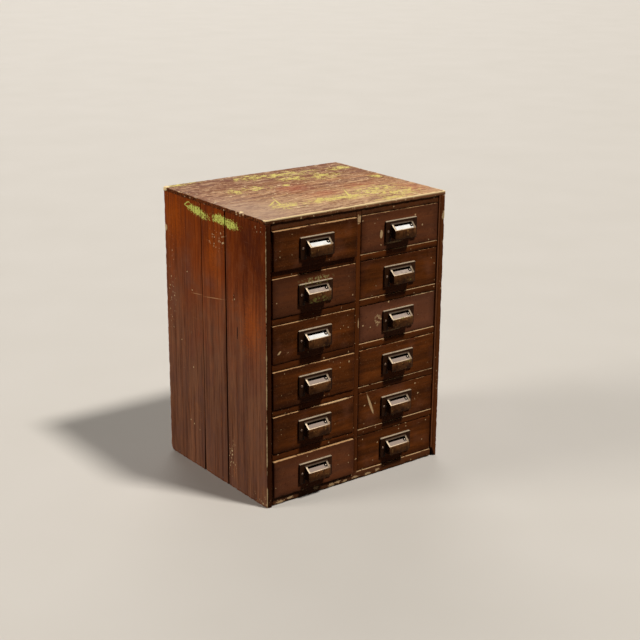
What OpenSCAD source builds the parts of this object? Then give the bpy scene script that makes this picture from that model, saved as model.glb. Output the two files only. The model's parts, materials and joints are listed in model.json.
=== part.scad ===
// Two-column chest of small drawers for a watchmaker's bench, in stained softwood.
// Millimetres. X runs from left to right across the front, -Y faces the user and +Z is up.
// The origin is the middle of the underside of the case.

/* [Case] */
// Width over the side boards
case_w = 460; // [400:1:540]
// Depth from the front edges of the sides to the back
case_d = 378; // [340:1:440]
// Height to the upper face of the top
case_h = 604; // [560:1:680]
// Thickness of the side boards
side_t = 12; // [9:0.5:18]
// Thickness of the top boards
top_t = 9; // [7:0.5:15]
// Overhang of the top past the sides and the back
top_reach = 1; // [0.5:0.5:6]
// Thickness of the back boards
back_t = 8; // [5:0.5:12]
// Thickness of the bottom board
bottom_t = 10; // [6:0.5:14]
// Thickness of the centre divider
divider_t = 12; // [9:0.5:18]
// Thickness of the liners behind the side boards
liner_t = 3.5; // [2.5:0.5:6]
// How far the left liner stands behind the front edges of the sides
liner_set = 14; // [8:1:22]
// How far the right liner stands behind the front edges of the sides
right_liner_set = 1; // [0.5:0.5:6]

/* [Boards] */
// Width of the rear board of each side
rear_board_w = 145; // [110:1:160]
// Width of the front board of each side
front_board_w = 141; // [110:1:160]
// Gap between the rear and middle boards of a side
fine_gap = 1.2; // [0.5:0.1:3]
// Gap between the middle and front boards of a side
wide_gap = 4; // [1:0.5:8]
// How far the fine gap opens at the floor on the left side
wedge_w = 4; // [1:0.5:8]
// Height up to which the fine gap opens on the left side
wedge_h = 130; // [60:5:240]
// Radius of the worn rear foot of the left side
foot_r = 15; // [4:1:24]
// Width of the rear board of the top
top_rear_w = 101; // [80:1:130]
// Width of the front board of the top
top_front_w = 157; // [110:1:170]
// Gap between neighbouring boards of the top
top_gap = 0.6; // [0.3:0.1:2]
// Radius of the worn outer edges of the top
top_edge_r = 2.4; // [1:0.2:3.4]
// Gap between neighbouring boards of the back
back_gap = 0.8; // [0.3:0.1:2]

/* [Front frame] */
// Height of the rails between the drawers
rail_h = 14; // [10:0.5:20]
// Depth of the rails from front to back
rail_d = 24; // [18:1:36]
// How far the rails stand behind the front edges of the sides
rail_set = 3; // [1:0.5:6]
// Height of the rails under the top
top_rail_h = 14; // [10:0.5:24]
// Height of the upper edge of the bottom rail
bottom_rail_h = 18; // [16:0.5:30]
// Clearance under the bottom rail
bottom_lift = 2; // [1:0.5:6]
// Width of the split at the front foot of the right side
split_w = 8.5; // [3:0.5:8.5]
// Height of the split at the front foot of the right side
split_h = 22; // [12:1:30]
// Width of the drawer runners
runner_w = 14; // [11:1:20]

/* [Drawers] */
// Clearance on each side of a drawer
side_gap = 1; // [0.5:0.1:2]
// Clearance above a drawer front
head_gap = 1.2; // [0.6:0.1:3]
// Clearance between a drawer and its runners
run_gap = 0.3; // [0.2:0.1:0.8]
// Thickness of a drawer front
front_t = 14; // [11:0.5:20]
// Radius of the eased edges of a drawer front
front_r = 1.4; // [0.6:0.2:3]
// Depth of the rebates in a drawer front that take the side walls
rebate_d = 7; // [4:0.5:9]
// Thickness of the side walls of a drawer
wall_t = 9; // [7:0.5:10]
// How far the walls of a drawer stay below the top of its front
wall_drop = 22; // [6:1:30]
// Thickness of the back wall of a drawer
back_wall_t = 8; // [6:0.5:12]
// Thickness of the bottom panel of a drawer
panel_t = 4; // [3:0.5:5]
// Height of a bottom panel above the lower edge of its drawer
panel_up = 6; // [4:0.5:10]
// Depth of the grooves that hold a bottom panel
groove_d = 4; // [2:0.5:5]
// Gap in the nailed joints of a drawer box
joint_gap = 0.15; // [0.1:0.05:0.3]
// How far a drawer that is pushed home stands behind the rails
home_set = 1.5; // [0.5:0.5:4]
// How far the first and last drawers on the left are drawn out at rest
end_out = 7; // [2:0.5:20]
// How far the other drawers on the left are drawn out at rest
middle_out = 3.5; // [2:0.5:20]
// How far the right drawers are drawn out at rest
right_out = 1; // [1:0.5:20]
// How unevenly the drawers of a column are drawn out
out_spread = 0.8; // [0:0.1:1]
// Length of the drawer stops on the back
stop_l = 29; // [15:1:50]
// Width of the drawer stops
stop_w = 30; // [15:1:60]
// Height of the drawer stops
stop_h = 20; // [10:1:26]
// Height of the drawer stops above the runners
stop_up = 18; // [14:1:22]
// Clearance between a drawer that is pushed home and its stop
stop_gap = 0.3; // [0.2:0.1:1]

/* [Pull] */
// Width of the plate
plate_w = 84; // [74:1:100]
// Height of the plate
plate_h = 45; // [42:0.5:52]
// Radius of the corners of the plate
plate_r = 3; // [2:0.5:6]
// Thickness of the pressed sheet
sheet_t = 1.2; // [0.8:0.1:1.6]
// How far the face of the plate stands off the drawer
plate_off = 4; // [2:0.1:5]
// How far the plate sits below the middle of the drawer front
pull_low = 1.5; // [0:0.5:6]
// Width of the hood at the drawer
hood_w = 58; // [50:1:66]
// How far each cheek of the hood leans in from the drawer to the skirt
hood_taper = 1.5; // [0.5:0.1:3]
// Height of the plate above the hood
hood_drop = 6.5; // [6:0.5:11]
// How far the hood stands off the drawer
hood_out = 18; // [14:0.5:24]
// Height of the sloping window
slope_h = 13; // [11:0.5:16]
// Height of the upright skirt below the window
skirt_h = 19; // [12:0.5:20]
// Radius of the lower corners of the skirt
skirt_r = 5; // [2:0.5:8]
// Inner radius of the bends
bend_r = 1.4; // [0.8:0.2:2.4]
// Width of the frame above and beside the window
frame_w = 3; // [2:0.5:4]
// Width of the frame below the window
sill_w = 2; // [1.6:0.1:4]

/* [Label card] */
// Thickness of the card
card_t = 0.5; // [0.3:0.1:0.8]
// Clearance round the card
card_fit = 0.15; // [0.1:0.05:0.3]
// Open slot between the window's frame and the upper edge of the card
card_slot = 4.8; // [2:0.2:6]
// Thickness of the tray under the card
tray_t = 0.8; // [0.5:0.1:1.2]
// How far the tray reaches past the upper edge of the card
tray_lip = 1.2; // [1:0.1:2]
// Radius of the stud that pins the card
stud_r = 2.5; // [1.5:0.1:3]
// Distance of the stud from the middle of the pull
stud_x = 20; // [14:0.5:20]
// Distance of the stud below the upper edge of the card
stud_s = 2.4; // [2:0.1:6]
// Clearance round the stud in the card
stud_gap = 1.4; // [0.5:0.1:1.4]

/* [Hidden] */
$fn = 48;
rows = 6;
columns = ["left", "right"];
drawer_parts = ["front", "box", "pull", "card"];
case_nodes = [
    "top_boards", "left_side_boards", "right_side_boards", "side_liners", "back_boards", "bottom_board",
    "centre_divider", "front_rails", "bottom_rail", "drawer_runners", "drawer_stops"
];

// Finishes
side_colour = "#6b3820";
top_colour = "#84604c";
front_colour = "#4c2a1a";
rail_colour = "#42241a";
raw_colour = "#a5784c";
steel_colour = "#54483e";
white_card_colour = "#e8e4da";
grey_card_colour = "#ab9c98";
// The drawers whose label cards are white, as column and row
white_cards = [[0, 1], [0, 3], [1, 1]];

// Places in the case
front_y = -case_d / 2;
rear_y = case_d / 2;
back_y = rear_y - back_t;
rail_y = front_y + rail_set;
rail_back_y = rail_y + rail_d;
side_x = case_w / 2 - side_t;
side_h = case_h - top_t;
bay_w = (2 * (side_x - liner_t) - divider_t) / 2;
opening_h = (side_h - top_rail_h - bottom_rail_h - (rows - 1) * rail_h) / rows;
back_boards_n = 4;
// How far a cutting shape reaches past the face that it cuts
over = 1;

// Sizes of a drawer
drawer_w = bay_w - 2 * side_gap;
front_h = opening_h - run_gap - head_gap;
wall_h = front_h - wall_drop;
drawer_l = back_y - stop_l - stop_gap - rail_y - home_set;
inner_w = drawer_w - 2 * wall_t;
panel_top = panel_up + panel_t;

// The hood's fold lines, seen from the side, from the plate's top edge on the drawer's face
plate_top = (front_h + plate_h) / 2 - pull_low;
fold_top = [-plate_off, -hood_drop];
fold_low = [-hood_out, -hood_drop - slope_h];
skirt_end = fold_low - [0, skirt_h];
slope = unit(fold_low - fold_top);
slope_l = norm(fold_low - fold_top);
// Outward normal of the window, and the tilt that turns +Z to it
slope_out = [slope.y, -slope.x];
slope_tilt = atan2(-slope_out.x, slope_out.y);
// Half the angle by which the sheet turns at the lower fold
half_turn = acos(-slope.y) / 2;
card_low = sheet_t + card_fit + card_t;
card_start = frame_w + card_slot;
card_end = slope_l - (sheet_t + bend_r) * tan(half_turn) - 2 * card_fit;
card_w = hood_w - 2 * (sheet_t + hood_taper + card_fit);
tray_low = -card_low - card_fit - tray_t;
tray_start = card_start - tray_lip;
stud_at = card_start + stud_s;

// Names and places of what repeats
function part_name(c, r, p) = str(columns[c], "_", r, "_", p);
function bay_x(c) = (c == 0 ? -1 : 1) * (divider_t + bay_w) / 2;
function level_z(r) = bottom_rail_h + (rows - r) * (opening_h + rail_h);
function drawn_out(c, r) =
    (c == 1 ? right_out : r == 1 || r == rows ? end_out : middle_out) + out_spread * (r * 2 % 3 - 1);
function is_white(c, r) = len([for (w = white_cards) if (w == [c, r]) w]) > 0;

// Plane geometry
function unit(v) = v / norm(v);
function reversed(points) = [for (i = [len(points) - 1:-1:0]) points[i]];
// Points of the arc of radius r that rounds corner b between a and c
function corner(a, b, c, r, n = 4) =
    let (
        u = unit(a - b),
        v = unit(c - b),
        half = acos(u * v) / 2,
        centre = b + unit(u + v) * r / sin(half),
        p = b + u * r / tan(half) - centre,
        q = b + v * r / tan(half) - centre,
        start = atan2(p.y, p.x),
        turn = (atan2(q.y, q.x) - start + 540) % 360 - 180
    )
    [for (i = [0:n]) centre + r * [cos(start + turn * i / n), sin(start + turn * i / n)]];
// Corner b of a bent line moved by t to the right of the way from a to c
function mitre(a, b, c, t) =
    let (m = right_of(b - a), n = right_of(c - b))
    b + t * (m + n) / (1 + m * n);
function right_of(v) = [unit(v).y, -unit(v).x];
// A point of the window's slope: s along it and o out from it
function on_slope(s, o) = fold_top + slope * s + slope_out * o;
function slope_strip(s0, s1, o0, o1) =
    [on_slope(s0, o0), on_slope(s1, o0), on_slope(s1, o1), on_slope(s0, o1)];

// Extrudes a side view, given as [y, z], across X about the middle
module along_x(length) rotate([90, 0, 90]) linear_extrude(length, center = true) children();
// Extrudes a front view, given as [x, z], from y = 0 towards the user
module along_y(length) rotate([90, 0, 0]) linear_extrude(length) children();
// A box from its low corner to its high corner
module block(low, high) translate(low) cube(high - low);

// A plate seen from the front, hung from its upper edge
module plate_outline(w, h, r) {
    corners = [[-w / 2, 0], [-w / 2, -h], [w / 2, -h], [w / 2, 0]];
    polygon([for (i = [0:3]) each corner(corners[(i + 3) % 4], corners[i], corners[(i + 1) % 4], r)]);
}

// A board with its front edges eased, from y = 0 inwards and z = 0 upwards
module eased_board(w, t, h, r) intersection() {
    along_x(w) polygon(concat(
        corner([t, 0], [0, 0], [0, h], r), corner([0, 0], [0, h], [t, h], r), [[t, h], [t, 0]]
    ));
    linear_extrude(h) polygon(concat(
        corner([-w / 2, t], [-w / 2, 0], [w / 2, 0], r),
        corner([-w / 2, 0], [w / 2, 0], [w / 2, t], r),
        [[w / 2, t], [-w / 2, t]]
    ));
}

// Case

module top_boards() color(top_colour) {
    y0 = front_y;
    y1 = front_y + top_front_w;
    y2 = rear_y + top_reach - top_rear_w;
    y3 = rear_y + top_reach;
    w = case_w + 2 * top_reach;
    r = top_edge_r;
    translate([0, 0, side_h]) {
        along_x(w) polygon(concat(
            corner([y1, 0], [y0, 0], [y0, top_t], r),
            corner([y0, 0], [y0, top_t], [y1, top_t], r),
            [[y1, top_t], [y1, 0]]
        ));
        block([-w / 2, y1 + top_gap, 0], [w / 2, y2 - top_gap, top_t]);
        along_x(w) polygon(concat(
            [[y2, 0], [y3, 0]],
            corner([y3, 0], [y3, top_t], [y2, top_t], r),
            [[y2, top_t]]
        ));
    }
}

// The two rear boards of a side, where wedge and r shape the rear board's foot
module rear_side_boards(wedge, r) {
    joint_y = rear_y - rear_board_w;
    along_x(side_t) polygon(concat(
        [[joint_y + wedge, 0]],
        corner([joint_y, 0], [rear_y, 0], [rear_y, side_h], r),
        [[rear_y, side_h], [joint_y, side_h], [joint_y, wedge_h]]
    ));
    along_x(side_t) polygon([
        [front_y + front_board_w + wide_gap, 0], [joint_y - fine_gap, 0],
        [joint_y - fine_gap, side_h], [front_y + front_board_w + wide_gap, side_h]
    ]);
}

module front_side_board()
    block([-side_t / 2, front_y, 0], [side_t / 2, front_y + front_board_w, side_h]);

module left_side_boards() color(side_colour) translate([-side_x - side_t / 2, 0, 0]) {
    rear_side_boards(wedge_w, foot_r);
    front_side_board();
}

module right_side_boards() color(side_colour) translate([side_x + side_t / 2, 0, 0]) {
    rear_side_boards(0, top_edge_r);
    difference() {
        front_side_board();
        translate([-side_t / 2, rail_back_y, 0])
            along_y(rail_back_y - front_y + over)
                polygon([[-over, -over], [split_w, -over], [0, split_h], [-over, split_h]]);
    }
}

module side_liners() color(rail_colour) {
    block([-side_x, front_y + liner_set, bottom_t], [-side_x + liner_t, back_y, side_h]);
    // The right liner comes further forward and starts above the split
    translate([side_x - liner_t / 2, 0, 0]) along_x(liner_t) polygon([
        [front_y + right_liner_set, split_h], [rail_back_y, split_h], [rail_back_y, bottom_t],
        [back_y, bottom_t], [back_y, side_h], [front_y + right_liner_set, side_h]
    ]);
}

module back_boards() color(raw_colour) {
    pitch = 2 * side_x / back_boards_n;
    for (i = [0:back_boards_n - 1])
        block(
            [-side_x + i * pitch + (i == 0 ? 0 : back_gap / 2), back_y, 0],
            [-side_x + (i + 1) * pitch - (i == back_boards_n - 1 ? 0 : back_gap / 2), rear_y, side_h]
        );
}

module bottom_board() color(raw_colour)
    block([-side_x, rail_back_y, 0], [side_x, back_y, bottom_t]);

module centre_divider() color(rail_colour) along_x(divider_t) polygon([
    [rail_y, bottom_rail_h], [rail_back_y, bottom_rail_h], [rail_back_y, bottom_t],
    [back_y, bottom_t], [back_y, side_h], [rail_y, side_h]
]);

module front_rail(c, z, h)
    block([bay_x(c) - bay_w / 2, rail_y, z], [bay_x(c) + bay_w / 2, rail_back_y, z + h]);

module front_rails() color(rail_colour)
    for (c = [0:1]) {
        front_rail(c, side_h - top_rail_h, top_rail_h);
        for (r = [1:rows - 1])
            front_rail(c, level_z(r) - rail_h, rail_h);
    }

module bottom_rail() color(rail_colour)
    block([-side_x + liner_t, rail_y, bottom_lift], [side_x - liner_t, rail_back_y, bottom_rail_h]);

module drawer_runners() color(raw_colour)
    for (c = [0:1], r = [1:rows], s = [-1, 1])
        translate([bay_x(c) + s * (bay_w - runner_w) / 2, 0, 0])
            block(
                [-runner_w / 2, rail_back_y, r == rows ? bottom_t : level_z(r) - rail_h],
                [runner_w / 2, back_y, level_z(r)]
            );

module drawer_stops() color(raw_colour)
    for (c = [0:1], r = [1:rows])
        translate([bay_x(c), 0, level_z(r) + stop_up])
            block([-stop_w / 2, back_y - stop_l, 0], [stop_w / 2, back_y, stop_h]);

// Drawers

// Moves a drawer's pieces, modelled behind y = 0 and above z = 0, to their place at rest
module at_drawer(c, r)
    translate([bay_x(c), rail_y + home_set - drawn_out(c, r), level_z(r) + run_gap]) children();

module drawer_front(c, r) color(front_colour) at_drawer(c, r) difference() {
    eased_board(drawer_w, front_t, front_h, front_r);
    // Rebates that take the side walls
    for (s = [-1, 1])
        translate([s * (drawer_w - wall_t) / 2, 0, 0])
            block(
                [-wall_t / 2 - (s < 0 ? over : 0), front_t - rebate_d, -over],
                [wall_t / 2 + (s > 0 ? over : 0), front_t + over, wall_h]
            );
    // Groove that takes the bottom panel
    block(
        [-inner_w / 2 - over, front_t - groove_d, panel_up - joint_gap],
        [inner_w / 2 + over, front_t + over, panel_top + joint_gap]
    );
}

module drawer_wall(s) translate([s * (drawer_w - wall_t) / 2, 0, 0]) difference() {
    block([-wall_t / 2, front_t - rebate_d, 0], [wall_t / 2, drawer_l, wall_h]);
    translate([-s * wall_t / 2, 0, 0])
        block(
            [-groove_d, front_t - rebate_d - over, panel_up - joint_gap],
            [groove_d, drawer_l + over, panel_top + joint_gap]
        );
}

module drawer_box(c, r) color(raw_colour) at_drawer(c, r) {
    drawer_wall(-1);
    drawer_wall(1);
    block(
        [-inner_w / 2 + joint_gap, drawer_l - back_wall_t, panel_top + joint_gap],
        [inner_w / 2 - joint_gap, drawer_l, wall_h]
    );
    block(
        [-inner_w / 2 - groove_d + joint_gap, front_t - groove_d + joint_gap, panel_up],
        [inner_w / 2 + groove_d - joint_gap, drawer_l, panel_top]
    );
}

// Moves a pull's pieces, modelled with the plate's upper edge at the origin, to their drawer
module at_pull(c, r) at_drawer(c, r) translate([0, 0, plate_top]) children();

// The outer face of the folded sheet, from the plate down to the skirt's edge, moved in by t
function hood_line(t) =
    let (
        top = [-plate_off + t, -hood_drop / 2],
        a = mitre(top - [t, 0], fold_top, fold_low, -t),
        b = mitre(fold_top, fold_low, skirt_end, -t),
        end = skirt_end + [t, 0]
    )
    concat([top], corner(top, a, b, bend_r + t), corner(a, b, end, bend_r + sheet_t - t), [end]);

// The room between the outer faces of the leaning cheeks, moved in by t
module between_cheeks(t) {
    reach = hood_out + over;
    rear = hood_w / 2 - t;
    front = rear - hood_taper * reach / hood_out;
    translate([0, 0, skirt_end.y - over]) linear_extrude(2 * over - skirt_end.y)
        polygon([[-rear, 0], [-front, -reach], [front, -reach], [rear, 0]]);
}

module hood() intersection() {
    union() {
        difference() {
            along_x(hood_w) polygon(concat(hood_line(0), reversed(hood_line(sheet_t))));
            // Window
            intersection() {
                along_x(hood_w) polygon(slope_strip(frame_w, slope_l - sill_w, -2 * sheet_t, sheet_t));
                between_cheeks(sheet_t + frame_w);
            }
        }
        // Cheeks
        difference() {
            along_x(hood_w) polygon(concat(
                hood_line(0), [[sheet_t - plate_off, skirt_end.y], [sheet_t - plate_off, -hood_drop / 2]]
            ));
            between_cheeks(sheet_t);
        }
        // Tray under the card
        intersection() {
            along_x(hood_w) polygon(slope_strip(tray_start, 2 * slope_l, tray_low, tray_low + tray_t));
            along_x(hood_w) polygon(concat(hood_line(sheet_t / 2), [[0, skirt_end.y], [0, 0]]));
        }
    }
    between_cheeks(0);
    // Lower corners of the skirt
    along_y(hood_out + over) polygon(concat(
        [[hood_w / 2, 0], [-hood_w / 2, 0]],
        corner([-hood_w / 2, 0], [-hood_w / 2, skirt_end.y], [0, skirt_end.y], skirt_r),
        corner([0, skirt_end.y], [hood_w / 2, skirt_end.y], [hood_w / 2, 0], skirt_r)
    ));
}

// Flanged plate, with its rim turned back to the drawer
module plate() difference() {
    union() {
        translate([0, sheet_t - plate_off, 0]) along_y(sheet_t) plate_outline(plate_w, plate_h, plate_r);
        difference() {
            along_y(plate_off) plate_outline(plate_w, plate_h, plate_r);
            translate([0, over, -sheet_t]) along_y(plate_off + 2 * over)
                plate_outline(plate_w - 2 * sheet_t, plate_h - 2 * sheet_t, plate_r - sheet_t);
        }
    }
    block(
        [-hood_w / 2 + sheet_t, -plate_off - over, -plate_h - over],
        [hood_w / 2 - sheet_t, over, -hood_drop]
    );
}

// Domed stud on the tray
module stud() {
    foot = on_slope(stud_at, tray_low + tray_t / 2);
    height = sheet_t + card_t + 2 * card_fit + tray_t / 2;
    translate([stud_x, foot.x, foot.y]) rotate([slope_tilt, 0, 0]) intersection() {
        cylinder(r = stud_r, h = height);
        translate([0, 0, height - 2 * stud_r]) sphere(r = 2 * stud_r);
    }
}

module drawer_pull(c, r) color(steel_colour) at_pull(c, r) {
    plate();
    hood();
    stud();
}

module drawer_card(c, r) color(is_white(c, r) ? white_card_colour : grey_card_colour) at_pull(c, r)
    difference() {
        along_x(card_w) polygon(slope_strip(card_start, card_end, -card_low, -card_low + card_t));
        translate([stud_x, on_slope(stud_at, -card_low - over).x, on_slope(stud_at, -card_low - over).y])
            rotate([slope_tilt, 0, 0]) cylinder(r = stud_r + stud_gap, h = card_t + 2 * over);
    }

top_boards();
left_side_boards();
right_side_boards();
side_liners();
back_boards();
bottom_board();
centre_divider();
front_rails();
bottom_rail();
drawer_runners();
drawer_stops();
for (c = [0:1], r = [1:rows]) {
    drawer_front(c, r);
    drawer_box(c, r);
    drawer_pull(c, r);
    drawer_card(c, r);
}
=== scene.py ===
# %% [markdown]
# # A watchmaker's cabinet of twelve drawers
# The real object is a small case on the floor, nailed up from softwood boards, stained dark red-brown
# and worn for decades, with a pressed-steel pull and a label card on each drawer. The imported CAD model
# gives every piece its place. Here the pieces that show get the rounding, chips, grain, paint marks and
# wear that make it look its age, and each new piece stands exactly where its CAD node stands.

# %% Load the frame
import json
import math
import random
from types import SimpleNamespace

import bpy
import numpy as np
from mathutils import Matrix, Vector


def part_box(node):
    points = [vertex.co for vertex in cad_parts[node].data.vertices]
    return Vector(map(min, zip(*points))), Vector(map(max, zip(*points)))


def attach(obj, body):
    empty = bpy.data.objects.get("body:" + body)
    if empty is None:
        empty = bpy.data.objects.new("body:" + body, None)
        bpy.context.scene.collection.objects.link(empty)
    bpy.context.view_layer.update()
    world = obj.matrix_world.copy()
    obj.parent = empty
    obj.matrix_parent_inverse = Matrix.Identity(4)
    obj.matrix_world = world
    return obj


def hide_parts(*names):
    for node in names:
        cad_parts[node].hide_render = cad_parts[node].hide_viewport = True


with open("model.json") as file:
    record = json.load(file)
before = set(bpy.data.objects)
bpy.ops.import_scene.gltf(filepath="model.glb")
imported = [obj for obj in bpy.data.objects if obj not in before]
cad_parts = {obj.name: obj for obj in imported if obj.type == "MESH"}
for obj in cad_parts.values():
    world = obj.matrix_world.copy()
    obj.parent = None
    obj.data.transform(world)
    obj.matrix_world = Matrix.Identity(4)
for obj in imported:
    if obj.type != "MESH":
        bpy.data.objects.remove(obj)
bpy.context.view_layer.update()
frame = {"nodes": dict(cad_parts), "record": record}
MM = 0.001
drawers = [f"{column}_{row}" for column in ("left", "right") for row in range(1, 7)]
draw = random.Random(12)

# %% [markdown]
# ## Camera
# The photograph was taken from the front left, from a little above. Its camera was worked out from the
# corners of the case, so the eye, the three turns and the focal length are given as found. The focal
# length is in pixels of a square picture, which the sensor's width turns into a lens.

# %% Camera
PICTURE = 640
FOCAL_PIXELS = 1308.3
SENSOR_MM = 36
EYE = (-1.6084, -2.1817, 1.1958)
yaw, pitch, roll = (math.radians(angle) for angle in (37.153, 18.056, 0.41))

scene = bpy.context.scene
scene.view_settings.view_transform = "Standard"
camera = bpy.data.objects.new("camera", bpy.data.cameras.new("camera"))
scene.collection.objects.link(camera)
scene.camera = camera
camera.data.sensor_width = SENSOR_MM
camera.data.lens = FOCAL_PIXELS * SENSOR_MM / PICTURE
turned = Matrix.Rotation(-yaw, 4, "Z") @ Matrix.Rotation(math.pi / 2 - pitch, 4, "X")
camera.matrix_world = Matrix.Translation(EYE) @ turned @ Matrix.Rotation(roll, 4, "Z")
print("lens in mm:", round(camera.data.lens, 2))

# %% [markdown]
# ## Nodes and colours
# Colours are written as sRGB hex codes, as a paint chart gives them, and one function turns them into
# the linear values that shaders use. One other function adds a shader node: a lower-case setting is a
# property of the node, and a capitalised one, or one given by its order, is a socket. A socket that is
# given another node is linked to it.

# %% Helpers for materials
def colour(hex_code):
    """An sRGB hex code as linear red, green, blue and alpha."""
    shares = [int(hex_code[i:i + 2], 16) / 255 for i in (1, 3, 5)]
    return (*[s / 12.92 if s <= 0.04045 else ((s + 0.055) / 1.055) ** 2.4 for s in shares], 1)


def add(tree, kind, *by_order, **settings):
    """Add a node of a kind, with its properties, socket values and links."""
    node = tree.nodes.new("ShaderNode" + kind)
    sockets = dict(enumerate(by_order))
    for name, value in settings.items():
        if name[0].isupper():
            sockets[name.replace("_", " ")] = value
        else:
            setattr(node, name, value)
    for name, value in sockets.items():
        offered = [s for s in node.inputs if s.enabled]
        socket = offered[name] if isinstance(name, int) else next(s for s in offered if s.name == name)
        if isinstance(value, bpy.types.Node):
            value = next(s for s in value.outputs if s.enabled)
        if isinstance(value, bpy.types.NodeSocket):
            tree.links.new(value, socket)
        else:
            socket.default_value = value
    return node


def new_material(name):
    """An empty node material and its tree."""
    material = bpy.data.materials.new(name)
    material.use_nodes = True
    material.node_tree.nodes.clear()
    return material, material.node_tree


def place_mm(tree):
    """Where a point of a piece is, in mm."""
    place = add(tree, "TexCoord").outputs["Object"]
    return add(tree, "VectorMath", place, 1 / MM, operation="SCALE")


def lay_coats(tree, base, coats):
    """Lay coats over a base in turn, each with its mask and its colour, a hex code or a node."""
    for mask, tone in coats:
        over = colour(tone) if isinstance(tone, str) else tone
        base = add(tree, "Mix", mask, base, over, data_type="RGBA")
    return base


def close_surface(tree, base, roughness, height, relief_mm, **rest):
    """Join colour, roughness and relief in one surface. Height runs from 0 to 1 over relief_mm."""
    normal = add(tree, "Bump", Distance=relief_mm * MM, Height=height)
    shader = add(tree, "BsdfPrincipled", Base_Color=base, Roughness=roughness, Normal=normal, **rest)
    add(tree, "OutputMaterial", Surface=shader)


# %% [markdown]
# ## Floor and light
# A plain pale floor reaches past the picture on all sides. Its paint is pale to the camera and to
# reflections, but it throws little light back up, so that the shadows below the pulls stay deep. The key
# lamp is high in front on the right and sends those shadows down and a little to the left. A second lamp
# behind the left corner lights the long side without reaching round to the front, and a weak third one
# keeps the back readable. A sun lamp of strength pi lights a white face that looks at it to just white.

# %% Floor and light
FLOOR_SIZE = 40
BOUNCE = 0.013


def seen_ray(tree):
    """1 for rays from the camera, a reflection or a clear piece, and 0 for light that bounces."""
    ray = add(tree, "LightPath").outputs
    seen = add(tree, "Math", ray["Is Camera Ray"], ray["Is Glossy Ray"], operation="MAXIMUM")
    return add(tree, "Math", seen, ray["Is Transmission Ray"], operation="MAXIMUM")


def sun(name, share, softness, azimuth, elevation):
    """A lamp as far away as the sun. Azimuth 0 is in front and 90 on the right, all in degrees."""
    lamp = bpy.data.objects.new(name, bpy.data.lights.new(name, "SUN"))
    scene.collection.objects.link(lamp)
    lamp.data.energy = share * math.pi
    lamp.data.angle = math.radians(softness)
    across, up = math.radians(azimuth), math.radians(elevation)
    away = Vector((math.sin(across) * math.cos(up), -math.cos(across) * math.cos(up), math.sin(up)))
    lamp.rotation_mode = "QUATERNION"
    lamp.rotation_quaternion = away.to_track_quat("Z", "Y")
    return lamp


bpy.ops.object.select_all(action="DESELECT")
bpy.ops.mesh.primitive_plane_add(size=FLOOR_SIZE)
floor = bpy.context.active_object
floor.name = "floor"
floor_paint, tree = new_material("matt_floor_paint")
mottle = add(tree, "TexNoise", add(tree, "TexCoord").outputs["Object"], Scale=3)
pale = add(tree, "Mix", mottle, colour("#bfb7ab"), colour("#c6beb3"), data_type="RGBA")
floor_tone = add(tree, "Mix", seen_ray(tree), colour("#2a2723"), pale, data_type="RGBA")
close_surface(tree, floor_tone, 0.8, mottle, 0.1)
floor.data.materials.append(floor_paint)

sun("key_lamp", 0.98, 8, 29, 60)
sun("side_lamp", 0.7, 24, -112, 18)
sun("back_lamp", 0.35, 40, 150, 20)
scene.world = bpy.data.worlds.new("studio")
scene.world.use_nodes = True
tree = scene.world.node_tree
sky = tree.nodes["Background"]
sky.inputs["Color"].default_value = colour("#e0dbd3")
strength = add(tree, "MapRange", seen_ray(tree), 0, 1, BOUNCE, 1)
tree.links.new(strength.outputs[0], sky.inputs["Strength"])
print("lamps:", [lamp.name for lamp in bpy.data.lights])

# %% [markdown]
# ## Boards
# A worn board is more than a box: its edges are eased by hands, and chips have broken out of them. Each
# board starts as a cube at its size and place. Its edges are bevelled, its long edges are cut into short
# steps so that there is something to wear, and a Displace modifier then pushes the steps along the
# edges inwards where a cloudy noise says so. Only ever inwards, so no board leaves its CAD box. Boards
# that lie side by side in a panel are chipped along the panel's own edges, and their joints stay crisp.

# %% Helpers for boards
EASE_STEPS = 3
# Chips reach this far in from an edge
ARRIS_MM = 2.6
# Points of a CAD mesh that are closer than this are one point
MERGE_MM = 0.002
# Each board's grain is moved by up to this much, so that no two are alike
SHIFT_MM = 900
scene.tool_settings.mesh_select_mode = (False, True, False)


def work_on(piece):
    """Select one object alone and make it the active one."""
    bpy.ops.object.select_all(action="DESELECT")
    piece.select_set(True)
    bpy.context.view_layer.objects.active = piece


def edit(operator, whole=True, **settings):
    """Run one edit-mode operator on the active mesh: on the whole of it, or on what is selected."""
    bpy.ops.object.mode_set(mode="EDIT")
    if whole:
        bpy.ops.mesh.select_all(action="SELECT")
    operator(**settings)
    bpy.ops.object.mode_set(mode="OBJECT")


def coat_all(piece, material):
    """Give a piece one finish in place of what it has."""
    piece.data.materials.clear()
    piece.data.materials.append(material)


def block(low, high):
    """A plain block between two corners, with its place in its mesh."""
    bpy.ops.object.select_all(action="DESELECT")
    bpy.ops.mesh.primitive_cube_add(size=1, location=(low + high) / 2, scale=high - low)
    bpy.ops.object.transform_apply(location=True, rotation=False, scale=True)
    return bpy.context.active_object


def corners_of(piece):
    """The lowest and highest corner of a mesh."""
    points = np.array([v.co for v in piece.data.vertices])
    return Vector(points.min(0)), Vector(points.max(0))


# %% Planks with eased edges
def select_edges(mesh, chosen):
    """Select some edges of a mesh, given as one true or false for each edge, and nothing else."""
    mesh.vertices.foreach_set("select", np.zeros(len(mesh.vertices), bool))
    mesh.polygons.foreach_set("select", np.zeros(len(mesh.polygons), bool))
    mesh.edges.foreach_set("select", chosen)


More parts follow.
